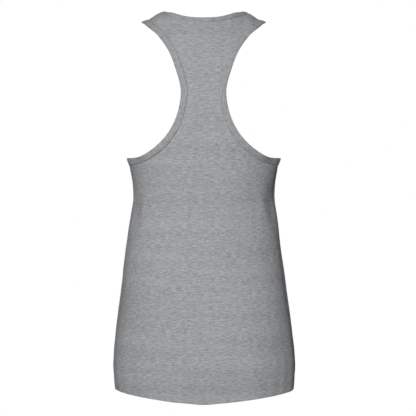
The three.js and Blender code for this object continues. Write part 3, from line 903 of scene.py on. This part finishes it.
def binding_rows(edge, width, start, end):
    """The needle line beside a binding's seam, and its mirror image."""
    shares = np.linspace(start, end, BINDING_ROW["stations"])
    around, level = edge.inset(shares, width - BINDING_ROW["from_seam"])
    rows = []
    for flip in ([1, 1, 1], [-1, 1, 1]):
        line = on_form(around, level) * flip
        normals = outward(around, level) * flip
        lift = BINDING_ROW["flat"] + (BINDING_ROW["sharp"] - BINDING_ROW["flat"]) * pressed(line, edge)
        rows.append((line + normals * lift[:, None], normals))
    return rows


def stitching(name, rows, material):
    points = []
    faces = []
    for line, normals in rows:
        more, shapes = stitch_row(line, normals)
        start = sum(len(p) for p in points)
        faces += [tuple(start + corner for corner in face) for face in shapes]
        points.append(more)
    return new_object(name, np.concatenate(points), faces, material)


# Materials
def links(material):
    material.use_nodes = True
    tree = material.node_tree
    return tree, tree.nodes["Principled BSDF"]


def add(tree, kind, **values):
    node = tree.nodes.new(kind)
    for name, value in values.items():
        if name in node.inputs:
            node.inputs[name].default_value = value
        else:
            setattr(node, name, value)
    return node


def math_node(tree, operation, first, second):
    node = tree.nodes.new("ShaderNodeMath")
    node.operation = operation
    for socket, value in zip(node.inputs, (first, second)):
        if isinstance(value, (int, float)):
            socket.default_value = value
        else:
            tree.links.new(value, socket)
    return node.outputs[0]


def stretched(tree, coordinates, per_metre):
    node = add(tree, "ShaderNodeMapping")
    node.inputs["Scale"].default_value = (*per_metre, 1)
    tree.links.new(coordinates, node.inputs["Vector"])
    return node.outputs["Vector"]


def noise(tree, vector, scale, detail, distortion):
    node = add(tree, "ShaderNodeTexNoise", Scale=scale, Detail=detail, Distortion=distortion)
    node.noise_dimensions = "2D"
    tree.links.new(vector, node.inputs["Vector"])
    return node.outputs[0]


# The layers of the heather: cells per metre across and down, detail, distortion and weight
HEATHER = {
    "flecks": ((105, 450), 2.0, 0.5, 0.44),
    "slubs": ((210, 760), 2.0, 0.4, 0.32),
    "fibres": ((700, 2300), 1.0, 0.0, 0.12),
    "bands": ((3, 46), 2.0, 0.0, 0.12),
}
DARK_AT = 0.36
LIGHT_AT = 0.65
WALES = {"per_metre": (240, 240), "distortion": 0.6, "share": 0.25}
KNIT_RELIEF = {"strength": 0.35, "distance": 0.0006}


def heather_jersey(name, dark, light):
    """Light heather jersey: pale and dark fibres in short flecks along the knitted rows, and knit relief."""
    material = bpy.data.materials.new(name)
    tree, shader = links(material)
    place = add(tree, "ShaderNodeUVMap", uv_map="cloth").outputs["UV"]
    layers = {}
    mixed = None
    for layer, (per_metre, detail, distortion, weight) in HEATHER.items():
        layers[layer] = noise(tree, stretched(tree, place, per_metre), 1.0, detail, distortion)
        weighed = math_node(tree, "MULTIPLY", layers[layer], weight)
        mixed = weighed if mixed is None else math_node(tree, "ADD", mixed, weighed)
    ramp = add(tree, "ShaderNodeValToRGB")
    for element, position, colour in zip(ramp.color_ramp.elements, (DARK_AT, LIGHT_AT), (dark, light)):
        element.position = position
        element.color = (*colour, 1)
    tree.links.new(mixed, ramp.inputs["Fac"])
    tree.links.new(ramp.outputs["Color"], shader.inputs["Base Color"])

    wales = add(tree, "ShaderNodeTexWave", Scale=1.0, Distortion=WALES["distortion"], Detail=1.0)
    wales.bands_direction = "X"
    tree.links.new(stretched(tree, place, WALES["per_metre"]), wales.inputs["Vector"])
    relief = math_node(tree, "MULTIPLY", wales.outputs["Fac"], WALES["share"])
    relief = math_node(tree, "ADD", relief, layers["slubs"])
    bump = add(tree, "ShaderNodeBump", Strength=KNIT_RELIEF["strength"], Distance=KNIT_RELIEF["distance"])
    tree.links.new(relief, bump.inputs["Height"])
    tree.links.new(bump.outputs["Normal"], shader.inputs["Normal"])
    shader.inputs["Roughness"].default_value = 0.92
    shader.inputs["Specular IOR Level"].default_value = 0.12
    shader.inputs["Sheen Weight"].default_value = 0.02
    shader.inputs["Sheen Roughness"].default_value = 0.5
    return material


def sewing_thread(name, colour):
    """Matt spun thread with a fine twist."""
    material = bpy.data.materials.new(name)
    tree, shader = links(material)
    place = add(tree, "ShaderNodeTexCoord").outputs["Object"]
    twist = add(tree, "ShaderNodeTexNoise", Scale=1800.0, Detail=1.0)
    tree.links.new(place, twist.inputs["Vector"])
    bump = add(tree, "ShaderNodeBump", Strength=0.3, Distance=0.0002)
    tree.links.new(twist.outputs[0], bump.inputs["Height"])
    tree.links.new(bump.outputs["Normal"], shader.inputs["Normal"])
    shader.inputs["Base Color"].default_value = (*colour, 1)
    shader.inputs["Roughness"].default_value = 0.8
    shader.inputs["Specular IOR Level"].default_value = 0.2
    return material


def pale_studio(name, colour):
    """A matt floor that the camera sees evenly lit. It gives the garment only the light that it reflects."""
    material = bpy.data.materials.new(name)
    tree, shader = links(material)
    shader.inputs["Base Color"].default_value = (*colour, 1)
    shader.inputs["Roughness"].default_value = 0.9
    even = add(tree, "ShaderNodeEmission", Color=(*colour, 1), Strength=1.0)
    choice = add(tree, "ShaderNodeMixShader")
    ray = add(tree, "ShaderNodeLightPath")
    tree.links.new(ray.outputs["Is Camera Ray"], choice.inputs[0])
    tree.links.new(shader.outputs[0], choice.inputs[1])
    tree.links.new(even.outputs[0], choice.inputs[2])
    tree.links.new(choice.outputs[0], tree.nodes["Material Output"].inputs["Surface"])
    return material


# The garment: the cloth's dark and light fibres, a shade darker in the folded strips, and the thread
DARK_FIBRES = (0.225, 0.229, 0.237)
LIGHT_FIBRES = (0.405, 0.412, 0.424)
STRIP_DARK_FIBRES = (0.208, 0.212, 0.219)
STRIP_LIGHT_FIBRES = (0.381, 0.387, 0.398)
THREAD_GREY = (0.29, 0.295, 0.303)
jersey = heather_jersey("heather_jersey", DARK_FIBRES, LIGHT_FIBRES)
binding_jersey = heather_jersey("heather_jersey_binding", STRIP_DARK_FIBRES, STRIP_LIGHT_FIBRES)

back_halves = half_panel(
    1,
    seam_line(neck_edge, NECK_INSET, 0, NECK_SHOULDER, NECK_ROWS),
    np.concatenate(
        [
            seam_line(armhole_edge, ARMHOLE_INSET, 0, BACK_TURN, ARMHOLE_COLUMNS),
            seam_line(armhole_edge, ARMHOLE_INSET, BACK_TURN, ARMHOLE_SHOULDER, UPPER_ROWS)[1:],
        ]
    ),
    TURNS_AT_BACK,
)
front_halves = half_panel(
    -1,
    seam_line(neck_edge, NECK_INSET, 1, NECK_SHOULDER, NECK_ROWS),
    np.concatenate(
        [
            seam_line(armhole_edge, ARMHOLE_INSET, 1, FRONT_TURN, ARMHOLE_COLUMNS),
            seam_line(armhole_edge, ARMHOLE_INSET, FRONT_TURN, ARMHOLE_SHOULDER, UPPER_ROWS)[1:],
        ]
    ),
    TURNS_AT_FRONT,
)
back_panel = panel("back_panel_cloth", back_halves, 1, jersey)
front_panel = panel("front_panel_cloth", front_halves, -1, jersey)
neck = binding("neck_binding_cloth", neck_edge, NECK_BINDING_WIDTH, "both", binding_jersey)
STRIP_JOINS = {"right": 9.0, "left": 0.0}
for hand, join in STRIP_JOINS.items():
    name = f"armhole_binding_{hand}_cloth"
    binding(name, armhole_edge, ARMHOLE_BINDING_WIDTH, hand, binding_jersey, join)

allowances = seam_allowances(jersey)

thread = sewing_thread("grey_thread", THREAD_GREY)
hem_stitches = stitching("hem_stitches", hem_rows(), thread)
binding_stitches = stitching(
    "binding_stitches",
    binding_rows(neck_edge, NECK_BINDING_WIDTH, 0.001, 0.999)
    + binding_rows(armhole_edge, ARMHOLE_BINDING_WIDTH, 0.012, 0.988),
    thread,
)

# The studio: a pale floor far below, a soft key from the camera's upper left, and a weak fill
FLOOR_BELOW = 1.38
bpy.ops.mesh.primitive_plane_add(size=6.4, location=(0, 0, -FLOOR_BELOW))
floor = bpy.context.object
floor.name = "floor"
floor.data.materials.append(pale_studio("pale_floor", (0.93, 0.93, 0.93)))


def soft_light(name, place, aim, size, watts):
    lamp = bpy.data.lights.new(name, "AREA")
    lamp.shape = "RECTANGLE"
    lamp.size, lamp.size_y = size
    lamp.energy = watts
    lamp.spread = math.radians(70)
    light = bpy.data.objects.new(name, lamp)
    light.location = place
    light.rotation_euler = (Vector(aim) - Vector(place)).to_track_quat("-Z", "Y").to_euler()
    bpy.context.collection.objects.link(light)
    return light


MIDDLE = (0, 0, -0.36)
soft_light("key", (-0.66, -4.1, 1.25), MIDDLE, (1.1, 1.1), 29.5)
soft_light("front_side", (0.3, 3.0, 0.9), MIDDLE, (1.2, 1.2), 15)

world = bpy.data.worlds.new("studio")
world.use_nodes = True
sky = world.node_tree
backdrop = sky.nodes["Background"]
backdrop.inputs["Color"].default_value = (1, 1, 1, 1)
backdrop.inputs["Strength"].default_value = 0.03
shown = add(sky, "ShaderNodeBackground", Color=(1, 1, 1, 1), Strength=1.0)
choice = add(sky, "ShaderNodeMixShader")
ray = add(sky, "ShaderNodeLightPath")
sky.links.new(ray.outputs["Is Camera Ray"], choice.inputs[0])
sky.links.new(backdrop.outputs[0], choice.inputs[1])
sky.links.new(shown.outputs[0], choice.inputs[2])
sky.links.new(choice.outputs[0], sky.nodes["World Output"].inputs["Surface"])
bpy.context.scene.world = world
bpy.context.scene.view_settings.view_transform = "Standard"

# The camera stands level behind the wearer, as in the photo
CAMERA_AWAY = 2.6
lens = bpy.data.cameras.new("camera")
lens.lens = 125
lens.sensor_width = 36
camera = bpy.data.objects.new("camera", lens)
camera.location = (0.0077, -CAMERA_AWAY, -0.3537)
camera.rotation_euler = (math.pi / 2, 0, 0)
bpy.context.collection.objects.link(camera)
bpy.context.scene.camera = camera
